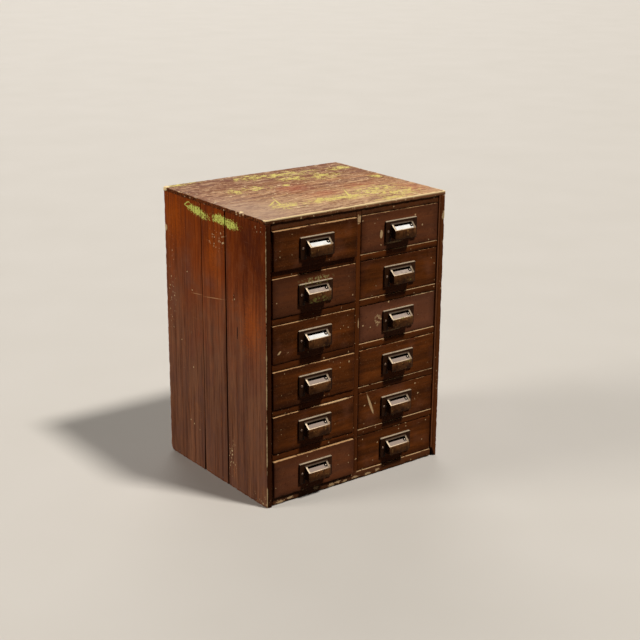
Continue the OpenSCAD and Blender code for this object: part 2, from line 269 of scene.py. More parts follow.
def cut_across(board, axis, step):
    """Cut each long edge that runs along an axis into steps, which nets the faces between them."""
    mesh = board.data
    points = np.array([v.co for v in mesh.vertices])
    ends = np.array([e.vertices for e in mesh.edges])
    run = points[ends[:, 1]] - points[ends[:, 0]]
    length = np.linalg.norm(run, axis=1)
    chosen = (np.abs(run[:, axis]) > 0.999 * length) & (length > 1.5 * step)
    if not chosen.any():
        return
    select_edges(mesh, chosen)
    edit(bpy.ops.mesh.subdivide, whole=False, number_cuts=round(length[chosen].max() / step) - 1)


def plank(low, high, ease_mm, step_mm):
    """A board between two corners, with eased edges and a net of cuts about a step apart."""
    board = block(low, high)
    edit(bpy.ops.mesh.bevel, offset=ease_mm * MM, segments=EASE_STEPS, affect="EDGES")
    for axis in range(3):
        cut_across(board, axis, step_mm * MM)
    return board


def cut_out(board, cutter):
    """Cut one block out of a board and throw the block away."""
    work_on(board)
    cut = board.modifiers.new("cut", "BOOLEAN")
    cut.object = cutter
    bpy.ops.object.modifier_apply(modifier="cut")
    bpy.data.objects.remove(cutter)


# %% Chips and waves
def cloud_texture(name, size_mm, start, full):
    """A cloudy noise that is 0 below a start and 1 above a full value."""
    texture = bpy.data.textures.new(name, "CLOUDS")
    texture.noise_scale = size_mm * MM
    texture.noise_depth = 3
    texture.use_color_ramp = True
    for stop, (place, grey) in zip(texture.color_ramp.elements, ((start, 0), (full, 1))):
        stop.position = place
        stop.color = (grey, grey, grey, 1)
    return texture


chip_clouds = cloud_texture("chip_clouds", 9, 0.46, 0.78)
warp_clouds = cloud_texture("warp_clouds", 70, 0.2, 0.8)


def push_in(board, texture, depth_mm, group=""):
    """Push a board's surface inwards where a texture is bright."""
    work_on(board)
    push = board.modifiers.new("push", "DISPLACE")
    push.texture = texture
    push.texture_coords = "GLOBAL"
    push.mid_level = 0
    push.strength = -depth_mm * MM
    push.vertex_group = group
    bpy.ops.object.modifier_apply(modifier="push")


def wear(board, chip_mm, panel=None, warp_mm=0.25):
    """Chip the edges of a board or of its panel, wave its faces and note the corners for its finish."""
    low, high = panel or corners_of(board)
    points = np.array([v.co for v in board.data.vertices])
    to_faces = np.sort(np.minimum(points - np.array(low), np.array(high) - points), axis=1)
    arris = board.vertex_groups.new(name="arris")
    for index, distance in enumerate(to_faces[:, 1] / MM):
        if distance < ARRIS_MM:
            arris.add([index], 1 - distance / ARRIS_MM, "REPLACE")
    push_in(board, chip_clouds, chip_mm, "arris")
    push_in(board, warp_clouds, warp_mm)
    shift = Vector(draw.uniform(-SHIFT_MM, SHIFT_MM) for _ in range(3))
    for name, value in (("board_low", low / MM), ("board_high", high / MM), ("board_shift", shift)):
        layer = board.data.attributes.new(name, "FLOAT_VECTOR", "POINT")
        layer.data.foreach_set("vector", np.tile(value, len(points)))
    return board


# %% Copies of CAD pieces
def cad_copy(node, name):
    """A copy of a CAD node's mesh, with its loose triangles merged."""
    piece = bpy.data.objects.new(name, frame["nodes"][node].data.copy())
    scene.collection.objects.link(piece)
    piece.data.materials.clear()
    work_on(piece)
    edit(bpy.ops.mesh.remove_doubles, threshold=MERGE_MM * MM)
    return piece


def solids(node):
    """The two corners of each separate solid of a CAD node, from a copy that is taken apart."""
    cad_copy(node, "solids")
    bpy.ops.mesh.separate(type="LOOSE")
    parts = list(bpy.context.selected_objects)
    boxes = [corners_of(part) for part in parts]
    for part in parts:
        bpy.data.objects.remove(part)
    return sorted(boxes, key=lambda box: [round(c / MM) for c in box[0]])


def moved_copy(piece, name, shift):
    """A copy of a piece with a mesh of its own, moved by a shift."""
    copy = bpy.data.objects.new(name, piece.data.copy())
    scene.collection.objects.link(copy)
    copy.data.transform(Matrix.Translation(shift))
    return copy


# %% Joining and fitting
def joined(name, pieces):
    """Several meshes made one piece."""
    bpy.ops.object.select_all(action="DESELECT")
    for piece in pieces:
        piece.select_set(True)
    bpy.context.view_layer.objects.active = pieces[0]
    if len(pieces) > 1:
        bpy.ops.object.join()
    pieces[0].name = name
    return pieces[0]


def fit(piece, body, slot, material, *nodes, smooth=35):
    """Finish a piece: its material, its smooth shading, the body it rides on and what it stands for."""
    work_on(piece)
    bpy.ops.object.shade_smooth_by_angle(angle=math.radians(smooth))
    coat_all(piece, material)
    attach(piece, body)
    if nodes:
        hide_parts(*nodes)
    print(piece.name, "has", len(piece.data.polygons), "faces")
    return piece


# %% [markdown]
# ## Stained softwood
# All the outside wood is softwood under a dark red-brown stain and a thin dry varnish. To the eye that
# gives streaks along the grain, a slow drift between warm and dark, a low satin sheen, and bare pale wood
# wherever an edge has been rubbed or chipped. Every wood here shares one base: noises that are stretched
# along the grain, at sizes in mm. Each board carries its own shift, so the grain does not run on from one
# board to the next, and its panel's corners, from which the shader works out how near the edge a point is.

# %% Layers that every wood shares
GRAIN_STRETCH, LONG_STRETCH = 0.08, 0.035
GRAIN = {
    "x": (GRAIN_STRETCH, 1, 1),
    "y": (1, GRAIN_STRETCH, 1),
    "z": (1, 1, LONG_STRETCH),
}


def wood_layers(tree, grain):
    """Places in mm and the grain's noises: slow tone, bands of early and late wood, and fibres."""
    mm = place_mm(tree)
    shift = add(tree, "Attribute", attribute_name="board_shift").outputs["Vector"]
    own = add(tree, "VectorMath", mm, shift, operation="ADD")
    along = add(tree, "VectorMath", own, GRAIN[grain], operation="MULTIPLY")
    grit = add(tree, "TexNoise", own, Scale=1 / 6, Detail=5, Roughness=0.65)
    crumbs = add(tree, "TexNoise", own, Scale=1 / 2.5, Detail=3)
    aside = add(tree, "VectorMath", along, (7, 5, 3), operation="ADD")

    # Real fibres are far finer than a pixel of the picture, so they are drawn coarse enough to show
    return SimpleNamespace(
        mm=mm,
        own=own,
        tone=add(tree, "TexNoise", along, Scale=1 / 20, Detail=3),
        bands=add(tree, "TexNoise", along, Scale=1 / 6, Detail=4, Roughness=0.62),
        fibres=add(tree, "TexNoise", along, Scale=1 / 1.4, Detail=3, Roughness=0.7),
        checks=add(tree, "TexNoise", aside, Scale=1 / 3),
        blotches=add(tree, "TexNoise", own, Scale=1 / 55, Detail=5, Roughness=0.6),
        grit=grit,
        crumbs=crumbs,
        torn=add(tree, "Math", grit, crumbs, operation="ADD"),
    )


def stained_base(tree, wood, dark, warm, streak, figure):
    """A stain's colour before wear: two tones that drift, with darker bands as strong as the figure."""
    drift = add(tree, "MapRange", wood.tone, 0.34, 0.66)
    bands = add(tree, "MapRange", wood.bands, 0.48, 0.7, 0, figure)
    fine = add(tree, "MapRange", wood.fibres, 0.45, 0.7, 0, 0.35)
    checks = add(tree, "MapRange", wood.checks, 0.64, 0.74, 0, 0.6)
    lines = add(tree, "Math", fine, checks, operation="MAXIMUM")
    return lay_coats(tree, colour(dark), [(drift, warm), (bands, streak), (lines, streak)])


def varnish_height(tree, wood):
    """Relief of a thin varnish over grain."""
    return add(tree, "Math", wood.bands, 0.6, wood.fibres, operation="MULTIPLY_ADD")


# %% Edges, faces and places on a board
def edge_distance(tree, mm):
    """How far a point of a panel is from its nearest edge, and below its top, in mm."""
    low = add(tree, "Attribute", attribute_name="board_low").outputs["Vector"]
    high = add(tree, "Attribute", attribute_name="board_high").outputs["Vector"]
    from_low = add(tree, "VectorMath", mm, low, operation="SUBTRACT")
    to_high = add(tree, "VectorMath", high, mm, operation="SUBTRACT")
    nearest = add(tree, "VectorMath", from_low, to_high, operation="MINIMUM")
    x, y, z = add(tree, "SeparateXYZ", nearest).outputs
    smaller = add(tree, "Math", x, y, operation="MINIMUM")
    larger = add(tree, "Math", x, y, operation="MAXIMUM")
    inner = add(tree, "Math", larger, z, operation="MINIMUM")
    edge = add(tree, "Math", smaller, inner, operation="MAXIMUM")
    return edge, add(tree, "SeparateXYZ", to_high).outputs["Z"]


def along_axis(tree, vector, axis, start, full, low=0, high=1):
    """A ramp on one part of a vector, such as a place or a normal."""
    part = add(tree, "SeparateXYZ", vector).outputs[axis]
    return add(tree, "MapRange", part, start, full, low, high)


def facing(tree, axis, start, full):
    """1 where a surface looks along an axis, from a start to a full part of its normal."""
    return along_axis(tree, add(tree, "NewGeometry").outputs["Normal"], axis, start, full)


# %% Rubbed edges, flecks and marks
RUBBED_LEVEL = 1.87
RUBBED_SPREAD = 1.5


def worn_edge(tree, wood, edge, reach_mm, use):
    """1 on a rubbed edge and 0 further in. Use 0 rubs it here and there, and 1 all along."""
    near = add(tree, "Math", edge, 1 / reach_mm, operation="MULTIPLY")
    torn = add(tree, "Math", wood.grit, 1.6, near, operation="MULTIPLY_ADD")
    patchy = add(tree, "Math", wood.blotches, 3, torn, operation="MULTIPLY_ADD")
    score = add(tree, "Math", use, -RUBBED_SPREAD, patchy, operation="MULTIPLY_ADD")
    return add(tree, "MapRange", score, RUBBED_LEVEL, RUBBED_LEVEL - 0.3)


def flecks(tree, wood, pitch_mm, size_mm, share):
    """Small separate chips of all sizes: one torn spot in some cells of a loose pattern."""
    cells = add(tree, "TexVoronoi", wood.own, Scale=1 / pitch_mm)
    luck, shrink, _ = add(tree, "SeparateXYZ", cells.outputs["Color"]).outputs
    reach = add(tree, "Math", cells.outputs["Distance"], pitch_mm / size_mm, operation="MULTIPLY")
    reach = add(tree, "Math", shrink, 0.7, reach, operation="MULTIPLY_ADD")
    reach = add(tree, "Math", wood.torn, 2.2, reach, operation="MULTIPLY_ADD")
    spot = add(tree, "MapRange", reach, 3.2, 2.9)
    picked = add(tree, "Math", luck, share, operation="LESS_THAN")
    return add(tree, "Math", spot, picked, operation="MULTIPLY")


def blot(tree, wood, centre, half, turn=0, axis=(0, 1, 0), ragged=1.2, soft=0.3):
    """A mark of paint or bare wood: 1 inside an oval about a centre, in mm, with a torn border."""
    away = add(tree, "VectorMath", wood.mm, centre, operation="SUBTRACT")
    if turn:
        away = add(tree, "VectorRotate", away, Axis=axis, Angle=math.radians(turn))
    share = add(tree, "VectorMath", away, half, operation="DIVIDE")
    reach = add(tree, "VectorMath", share, operation="LENGTH")
    torn = add(tree, "Math", wood.torn, 0.5 * ragged, reach, operation="MULTIPLY_ADD")
    full = 0.5 * ragged + 1
    return add(tree, "MapRange", torn, full, full - soft, 0, 1, interpolation_type="SMOOTHSTEP")


def any_of(tree, masks):
    """The brightest of several masks."""
    brightest = masks[0]
    for mask in masks[1:]:
        brightest = add(tree, "Math", brightest, mask, operation="MAXIMUM")
    return brightest


def patches(tree, wood, strength, marks):
    """Broad soft patches as strong as given, each mark a centre and a half size in mm."""
    soft_marks = [blot(tree, wood, centre, half, ragged=2.4, soft=1.5) for centre, half in marks]
    return add(tree, "Math", any_of(tree, soft_marks), strength, operation="MULTIPLY")


def within(tree, wood, mask, marks):
    """A mask that is kept only inside some ovals, each a centre and a half size in mm."""
    ovals = [blot(tree, wood, centre, half, ragged=1.2, soft=0.7) for centre, half in marks]
    return add(tree, "Math", any_of(tree, ovals), mask, operation="MULTIPLY")


# %% [markdown]
# ## Side boards
# The sides are stained upright boards. High up the stain is a clear orange-brown, and lower down it has
# gone dull and purplish from handling and floor dirt, so the colour drifts with height. Two smears of
# lime paint cross the joints of the left side, a shelf has scraped a thin pale line across it, and the
# front edge is rubbed to bare wood all the way up. The narrow face that looks forwards is dark.

# %% Stain of the side boards
# In mm: the outer face of the left side, how deep a mark on a face reaches, and a reach that takes in all
LEFT_X = -230
SKIN_MM, ALL_MM = 20, 900


def side_stain(tree, wood):
    """Clear and orange high up, dull and mauve lower down, with veins, threads and fine scratches."""
    height = add(tree, "SeparateXYZ", wood.mm).outputs["Z"]
    uneven = add(tree, "Math", wood.blotches, 420, height, operation="MULTIPLY_ADD")
    climb = add(tree, "MapRange", uneven, 400, 800, interpolation_type="SMOOTHSTEP")
    upper = stained_base(tree, wood, "#702c03", "#923e04", "#481904", 0.5)
    lower = stained_base(tree, wood, "#623e2d", "#82543a", "#42281b", 0.5)

    # Here the stain is still clear and orange, and there it has bloomed to a dull mauve
    clear = patches(tree, wood, 0.85, [
        ((0, 150, 545), (ALL_MM, 58, 90)),
        ((0, 2, 490), (ALL_MM, 44, 100)),
        ((0, -135, 375), (ALL_MM, 58, 100)),
    ])
    forward = along_axis(tree, wood.mm, "Y", -20, -110)
    high = along_axis(tree, wood.mm, "Z", 410, 500)
    uneven = add(tree, "MapRange", wood.blotches, 0.35, 0.6, 0.4, 0.9)
    deep = add(tree, "Math", forward, high, operation="MULTIPLY")
    deep = add(tree, "Math", deep, uneven, operation="MULTIPLY")
    strongest = add(tree, "MapRange", climb, 0, 1, 0.4, 0.08)
    clouds = add(tree, "MapRange", wood.blotches, 0.5, 0.66)
    bloom = any_of(tree, [
        add(tree, "Math", clouds, strongest, operation="MULTIPLY"),
        patches(tree, wood, 0.6, [
            ((0, 100, 430), (ALL_MM, 22, 90)),
            ((0, 166, 370), (ALL_MM, 22, 90)),
            ((0, 12, 432), (ALL_MM, 34, 26)),
            ((0, 30, 60), (ALL_MM, 160, 120)),
        ]),
    ])
    veins = add(tree, "MapRange", wood.bands, 0.5, 0.64, 0, 0.4)
    threads = add(tree, "MapRange", wood.fibres, 0.44, 0.34, 0, 0.4)
    across = add(tree, "VectorMath", wood.own, (1, 0.05, 1), operation="MULTIPLY")
    scratches = add(tree, "TexNoise", across, Scale=1 / 1.8, Detail=3)
    scratches = add(tree, "MapRange", scratches, 0.66, 0.78, 0, 0.25)
    rightward = along_axis(tree, wood.mm, "X", -1, 1)
    edge_stain = add(tree, "Mix", rightward, colour("#381a0a"), colour("#603216"), data_type="RGBA")
    splits = any_of(tree, [
        blot(tree, wood, (LEFT_X, -76, 424), (SKIN_MM, 1.6, 11), ragged=1.2),
        blot(tree, wood, (LEFT_X, -87, 352), (SKIN_MM, 1.8, 17), ragged=1.4),
    ])
    return lay_coats(tree, lower, [
        (climb, upper),
        (clear, "#aa4d05"),
        (deep, "#481700"),
        (bloom, "#5e4038"),
        (veins, "#451c0a"),
        (threads, "#a85a26"),
        (scratches, "#96684c"),
        (facing(tree, "Y", -0.5, -0.8), edge_stain),
        (splits, "#1c0d06"),
    ])


# %% Bare wood and paint on the side boards
def scraped_line(tree, wood):
    """The thin line that a shelf has scraped."""
    return any_of(tree, [
        blot(tree, wood, (LEFT_X, *centre), (SKIN_MM, *half), turn, (1, 0, 0), ragged=1.8, soft=0.8)
        for centre, half, turn in (((65, 396.5), (28, 0.9), 7), ((2, 403), (50, 1.2), 9))
    ])


def side_bare(tree, wood):
    """Bare wood on rubbed edges and in chips, single ones and clusters."""
    edge, _ = edge_distance(tree, wood.mm)
    forward_use = along_axis(tree, wood.mm, "Y", -180, -187, -0.2, 0.75)
    outer_use = along_axis(tree, wood.mm, "X", -225, -228, -0.6, 0)
    inner_use = along_axis(tree, wood.mm, "X", 225, 228, 0, 0.3)
    use = add(tree, "Math", forward_use, outer_use, operation="ADD")
    use = add(tree, "Math", use, inner_use, operation="ADD")
    clusters = within(tree, wood, flecks(tree, wood, 6, 2.6, 0.55), [
        ((LEFT_X, -166, 582), (SKIN_MM, 24, 13)),
        ((LEFT_X, -165, 12), (SKIN_MM, 40, 16)),
        ((0, 166, 385), (ALL_MM, 20, 150)),
        ((LEFT_X, -20, 532), (SKIN_MM, 44, 30)),
        ((LEFT_X, -76, 410), (SKIN_MM, 14, 22)),
        ((0, -60, 70), (ALL_MM, 20, 60)),
        ((228, -189, 190), (8, 12, 60)),
        ((228, -189, 440), (8, 12, 80)),
    ])
    return any_of(tree, [
        worn_edge(tree, wood, edge, 1.7, use),
        flecks(tree, wood, 16, 2, 0.2),
        clusters,
        blot(tree, wood, (LEFT_X, 184, 516), (SKIN_MM, 5, 8), ragged=2),
        blot(tree, wood, (230, -189, 552), (8, 9, 12), ragged=1.5),
    ])


def lime_smears(tree, wood):
    """Paint that was dragged across the grain and left the hollows of the fibres free."""
    smears = [
        ((54, 575), (40, 9), -8, 4),
        ((99, 585), (11, 1.5), 29, 1),
        ((82, 586), (13, 1.5), -23, 1),
        ((95, 578), (13, 1.6), -12, 1),
        ((-28, 575), (28, 10), 0, 4),
        ((-64, 572), (30, 9), 0, 4),
    ]
    lime = any_of(tree, [
        blot(tree, wood, (LEFT_X, *centre), (SKIN_MM, *half), turn, (1, 0, 0), ragged=ragged)
        for centre, half, turn, ragged in smears
    ])
    hollows = add(tree, "Math", wood.bands, wood.crumbs, operation="ADD")
    hollows = add(tree, "MapRange", hollows, 1.14, 1.02, 0.1, 1)
    return add(tree, "Math", lime, hollows, operation="MULTIPLY")


# %% Stained side boards
def side_finish():
    material, tree = new_material("stained_softwood_side")
    wood = wood_layers(tree, "z")
    bare = side_bare(tree, wood)
    base = lay_coats(tree, side_stain(tree, wood), [
        (scraped_line(tree, wood), "#b88458"),
        (bare, "#c4a477"),
        (lime_smears(tree, wood), "#cdd062"),
    ])
    rough = add(tree, "MapRange", wood.blotches, 0.35, 0.7, 0.42, 0.6)
    rough = add(tree, "Mix", bare, rough, 0.85, data_type="FLOAT")
    close_surface(tree, base, rough, varnish_height(tree, wood), 0.22, Specular_IOR_Level=0.02)
    return material


side_wood = side_finish()
print("finish:", side_wood.name)

# %% Side boards
SIDE_EASE_MM = 0.8
SIDE_STEP_MM = 5
SIDE_CHIP_MM = 1.4
# In mm, as in the CAD model: the joint that gapes, the foot that is worn round and the split
WEDGE_W, WEDGE_H, FOOT_R = 4, 130, 15
SPLIT_W, SPLIT_H, SPLIT_DEPTH = 8.5, 22, 27


def open_joint(board):
    """Draw the front edge of the left rear board back towards the floor, where the joint gapes."""
    low, high = corners_of(board)
    for vertex in board.data.vertices:
        fall = max(0, 1 - vertex.co.z / (WEDGE_H * MM))
        share = (high.y - vertex.co.y) / (high.y - low.y)
        vertex.co.y += WEDGE_W * MM * fall * share


def round_foot(board):
    """Press the worn rear foot of a board to a quarter round."""
    low, high = corners_of(board)
    radius = FOOT_R * MM
    centre = Vector((0, high.y - radius, low.z + radius))
    for vertex in board.data.vertices:
        away = Vector((0, vertex.co.y - centre.y, vertex.co.z - centre.z))
        if away.y > 0 > away.z and away.length > radius:
            vertex.co.y = centre.y + away.y * radius / away.length
            vertex.co.z = centre.z + away.z * radius / away.length


def split_foot(board):
    """Break a three-cornered splinter out of the inner front foot of the right side."""
    low, high = corners_of(board)
    over = Vector((MM, MM, MM))
    top = Vector((low.x + SPLIT_W * MM, low.y + SPLIT_DEPTH * MM, SPLIT_H * MM))
    splinter = block(low - over, top)
    for vertex in splinter.data.vertices:
        if vertex.co.x > low.x and vertex.co.z > MM:
            vertex.co.x = low.x
    cut_out(board, splinter)


for side in ("left", "right"):
    node = f"{side}_side_boards"
    boards = [plank(low, high, SIDE_EASE_MM, SIDE_STEP_MM) for low, high in solids(node)]
    if side == "left":
        open_joint(boards[-1])
        round_foot(boards[-1])
    else:
        split_foot(boards[0])
    worn = joined(f"{side}_side_worn", [wear(board, SIDE_CHIP_MM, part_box(node)) for board in boards])
    fit(worn, "case", "stained_side", side_wood, node)

# %% [markdown]
# ## Top
# The top has had the most use. Its stain is rubbed to a dull mauve-brown with warmer red patches, its
# front edge is bare and pale, and yellow-green paint has been dragged over it in broken strokes. Its
# narrow upright faces were out of reach of all that and stayed dark.

# %% Stain of the top
# In mm: the height about which marks on the top are placed
TOP_Z = 600


def top_stain(tree, wood):
    """Stain that is rubbed dull, scuffed along the boards and still red in a few places."""
    base = stained_base(tree, wood, "#80513a", "#ae784c", "#57301f", 0.5)
    rubbed_grain = add(tree, "MapRange", wood.bands, 0.47, 0.34, 0, 0.5)

    # Mauve-grey on the left, dark at the back and palest towards the front
    leftward = along_axis(tree, wood.mm, "X", -130, -210, 0, 0.45)
    forward = along_axis(tree, wood.mm, "Y", -10, -70, 0, 0.32)
    backward = along_axis(tree, wood.mm, "Y", 50, 140, 0, 0.7)

    # Scuffs that were dragged along the boards, some to pale wood and some through to dirt
    dragged = add(tree, "VectorMath", wood.own, (0.4, 1, 1), operation="MULTIPLY")
    drags = add(tree, "TexNoise", dragged, Scale=1 / 11, Detail=6, Roughness=0.75)
    dull = add(tree, "MapRange", drags, 0.48, 0.35, 0, 0.75)
    scuffs = add(tree, "MapRange", drags, 0.52, 0.66, 0, 0.6)
    long_drags = add(tree, "VectorMath", wood.own, (0.12, 1, 1), operation="MULTIPLY")
    scratches = add(tree, "TexNoise", long_drags, Scale=1 / 8, Detail=4, Roughness=0.7)
    pale_lines = add(tree, "MapRange", scratches, 0.55, 0.65, 0, 0.6)
    dark_lines = add(tree, "MapRange", scratches, 0.45, 0.35, 0, 0.7)
    specks = add(tree, "TexNoise", wood.own, Scale=1 / 8, Detail=3, Roughness=0.7)
    dirt = add(tree, "MapRange", specks, 0.44, 0.34, 0, 0.7)
    dents = add(tree, "MapRange", specks, 0.57, 0.68, 0, 0.6)
    nicks = add(tree, "Math", flecks(tree, wood, 11, 4, 0.12), 0.8, operation="MULTIPLY")

    # The left front corner is worn smooth, and clear red stain is left in a few places
    smooth = along_axis(tree, wood.mm, "X", -60, -190)
    toward_front = along_axis(tree, wood.mm, "Y", 40, -60, 0, 0.5)
    smooth = add(tree, "Math", smooth, toward_front, operation="MULTIPLY")
    red = patches(tree, wood, 0.75, [
        ((-19, 14, TOP_Z), (70, 56, SKIN_MM)),
        ((8, -62, TOP_Z), (80, 44, SKIN_MM)),
        ((118, -42, TOP_Z), (80, 38, SKIN_MM)),
        ((196, -112, TOP_Z), (50, 90, SKIN_MM)),
    ])
    return lay_coats(tree, base, [
        (rubbed_grain, "#c49c6c"),
        (leftward, "#94705e"),
        (forward, "#dcb688"),
        (backward, "#744836"),
        (dull, "#653626"),
        (scuffs, "#d2ae82"),
        (pale_lines, "#d8b288"),
        (dark_lines, "#5c3020"),
        (dirt, "#583020"),
        (dents, "#dcb88c"),
        (nicks, "#e6cc9e"),
        (smooth, "#a98a74"),
        (red, "#aa5236"),
    ])


# %% Paint on the top
# Loose dabs lie this much further out than the strokes
DAB_SPREAD = 1.3


def top_paint(tree, wood):
    """What a nearly dry brush left on the ridges: broken strokes, dabs and a few thin lines."""
    marks = [
        ((-4, -108), (100, 24)),
        ((42, -116), (64, 24)),
        ((116, -98), (76, 54)),
        ((150, -138), (58, 34)),
        ((104, -172), (54, 18)),
        ((-128, -110), (36, 32)),
        ((-134, 52), (22, 26)),
        ((-84, 56), (40, 26)),
        ((-26, 154), (60, 28)),
        ((60, 142), (80, 30)),
        ((38, 100), (36, 30)),
        ((114, 82), (54, 34)),
        ((194, 130), (36, 22)),
        ((-198, 182), (60, 18)),
        ((208, 12), (18, 18)),
    ]
    strokes = any_of(tree, [
        blot(tree, wood, (*centre, TOP_Z), (*half, SKIN_MM), ragged=3, soft=1.2) for centre, half in marks
    ])
    ridges = add(tree, "VectorMath", wood.own, (0.3, 1, 1), operation="MULTIPLY")
    ridges = add(tree, "TexNoise", ridges, Scale=1 / 9, Detail=5, Roughness=0.75)
    ridges = add(tree, "MapRange", ridges, 0.38, 0.62)
    covered = add(tree, "Math", strokes, ridges, operation="ADD")
    covered = add(tree, "MapRange", covered, 0.95, 1.2, 0, 0.8)
    inside = add(tree, "MapRange", strokes, 0, 0.35)
    strokes = add(tree, "Math", covered, inside, operation="MULTIPLY")
    spread = [
        ((*centre, TOP_Z), (DAB_SPREAD * half[0], DAB_SPREAD * half[1], SKIN_MM)) for centre, half in marks
    ]
    dabs = within(tree, wood, flecks(tree, wood, 10, 9, 0.5), spread)
    thin_lines = [
        blot(tree, wood, (*centre, TOP_Z), (reach, 2.4, SKIN_MM), turn, (0, 0, 1), ragged=1.4, soft=0.6)
        for centre, reach, turn in (((-121, -76), 52, -70), ((-136, -76), 34, -42), ((44, -92), 60, -62))
    ]
    drip = blot(tree, wood, (-12, 48, TOP_Z), (9, 8, SKIN_MM), ragged=4)
    return any_of(tree, [strokes, dabs, drip, *thin_lines])


# %% Upright faces and rubbed edges of the top
def top_faces(tree, wood):
    """The narrow upright faces, which kept their dark stain, with chips here and there."""
    mottled = add(tree, "MapRange", wood.torn, 0.88, 1.12)
    rightward = along_axis(tree, wood.mm, "X", -180, 0)
    front_tone = add(tree, "Mix", rightward, colour("#4c2812"), colour("#8a5a3a"), data_type="RGBA")
    front_face = facing(tree, "Y", -0.3, -0.7)
    dusty = add(tree, "MapRange", wood.torn, 0.95, 1.25, 0, 0.5)
    dusty = add(tree, "Math", dusty, front_face, operation="MULTIPLY")
    return lay_coats(tree, colour("#32170a"), [
        (mottled, "#743a18"),
        (front_face, front_tone),
        (dusty, "#94684a"),
        (flecks(tree, wood, 6, 3.4, 0.22), "#c8a67a"),
    ])


def top_edges(tree, wood):
    """Bare upper edges, rubbed most of all in front and on the right, and two chips on the left."""
    edge, _ = edge_distance(tree, wood.mm)
    front_use = along_axis(tree, wood.mm, "Y", -174, -184, -0.4, 1.1)
    right_use = along_axis(tree, wood.mm, "X", 212, 226, -0.4, 0.7)
    use = add(tree, "Math", front_use, right_use, operation="MAXIMUM")
    rubbed = any_of(tree, [worn_edge(tree, wood, edge, 3, use), worn_edge(tree, wood, edge, 1.8, 0.3)])
    upper_edge = along_axis(tree, wood.mm, "Z", 600.5, 602.5)
    rubbed = add(tree, "Math", rubbed, upper_edge, operation="MULTIPLY")
    return any_of(tree, [
        rubbed,
        blot(tree, wood, (-230, 188, 602), (15, 14, 8), ragged=1.6),
        blot(tree, wood, (-227, -102, 602), (5, 6, 4), ragged=1.6),
    ])


# %% Worn top
def top_finish():
    material, tree = new_material("worn_softwood_top")
    wood = wood_layers(tree, "x")
    base = lay_coats(tree, top_stain(tree, wood), [
        (top_paint(tree, wood), "#d2c068"),
        (facing(tree, "Z", 0.5, 0.2), top_faces(tree, wood)),
        (top_edges(tree, wood), "#ecce98"),
    ])
    rough = add(tree, "MapRange", wood.blotches, 0.35, 0.7, 0.65, 0.85)
    close_surface(tree, base, rough, varnish_height(tree, wood), 0.3, Specular_IOR_Level=0.02)
    return material


TOP_EASE_MM = 1.1
TOP_STEP_MM = 4.5
TOP_CHIP_MM = 1.2
top_wood = top_finish()
top_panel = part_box("top_boards")
top = joined("top_worn", [
    wear(plank(low, high, TOP_EASE_MM, TOP_STEP_MM), TOP_CHIP_MM, top_panel)
    for low, high in solids("top_boards")
])
fit(top, "case", "worn_top", top_wood, "top_boards")

# %% [markdown]
# ## Rails and divider
# The rails between the drawers and the upright divider are narrow strips of the same wood, as dark as
# the fronts. Drawers have rubbed the upper edges of the rails pale, and the bottom rail has lost some of
# its stain to brooms and boots.

# %% Rails and divider
def rail_finish(name, grain, top_use, edge_use, chips):
    """Stained strips. The chips are marks of bare wood, each a centre and a half size in mm."""
    material, tree = new_material(name)
    wood = wood_layers(tree, grain)
    edge, below_top = edge_distance(tree, wood.mm)
    base = stained_base(tree, wood, "#42200c", "#683412", "#2a1106", 0.5)
    by_top = along_axis(tree, wood.mm, "Z", 566, 576)
    by_floor = along_axis(tree, wood.mm, "Z", 26, 16)
    dusty = add(tree, "Math", by_top, by_floor, operation="MAXIMUM")
    settled = add(tree, "MapRange", wood.torn, 0.85, 1.2, 0.2, 0.8)
    dusty = add(tree, "Math", dusty, settled, operation="MULTIPLY")
    right_use = along_axis(tree, wood.mm, "X", -5, 5, top_use - 0.5, top_use)
    high_use = along_axis(tree, wood.mm, "Z", 570, 578, edge_use, edge_use + 0.5)
    bare = any_of(tree, [
        worn_edge(tree, wood, below_top, 1.3, right_use),
        worn_edge(tree, wood, edge, 1.2, high_use),
        flecks(tree, wood, 8, 2, 0.25),
        *[blot(tree, wood, centre, half, ragged=3.5) for centre, half in chips],
    ])
    base = lay_coats(tree, base, [(dusty, "#5e3c26"), (bare, "#c8a274")])
    rough = add(tree, "MapRange", wood.blotches, 0.35, 0.7, 0.4, 0.6)
    rough = add(tree, "Mix", bare, rough, 0.85, data_type="FLOAT")
    close_surface(tree, base, rough, varnish_height(tree, wood), 0.2, Specular_IOR_Level=0.03)
    return material


RAIL_EASE_MM = 0.8
RAIL_STEP_MM = 4
RAIL_CHIP_MM, KICK_CHIP_MM, POST_CHIP_MM = 1, 1.8, 0.8
HAIR_MM = 0.05
rail_wood = rail_finish("stained_softwood_rail", "x", 0.85, -0.1, [])
kick_wood = rail_finish("stained_softwood_kick_rail", "x", 0.8, 0.2, [
    ((-196, -186, 5), (12, 6, 4)),
    ((-170, -186, 8), (9, 6, 3)),
    ((-104, -186, 11), (8, 6, 4)),
    ((-62, -186, 6), (9, 6, 5)),
    ((-46, -186, 9), (8, 6, 4)),
    ((-28, -186, 5), (7, 6, 4)),
    ((2, -186, 7), (9, 6, 3)),
    ((34, -186, 6), (10, 6, 3)),
    ((62, -186, 8), (7, 6, 3)),
])
post_wood = rail_finish("stained_softwood_post", "z", -0.6, -0.3, [
    ((2, -186, 574), (8, 9, 10)),
    ((3, -186, 352), (1.4, 6, 11)),
])

rails = joined("front_rails_worn", [
    wear(plank(low, high, RAIL_EASE_MM, RAIL_STEP_MM), RAIL_CHIP_MM) for low, high in solids("front_rails")
])
fit(rails, "case", "stained_rail", rail_wood, "front_rails")
kick = wear(plank(*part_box("bottom_rail"), RAIL_EASE_MM, RAIL_STEP_MM), KICK_CHIP_MM)
fit(joined("bottom_rail_worn", [kick]), "case", "stained_rail", kick_wood, "bottom_rail")

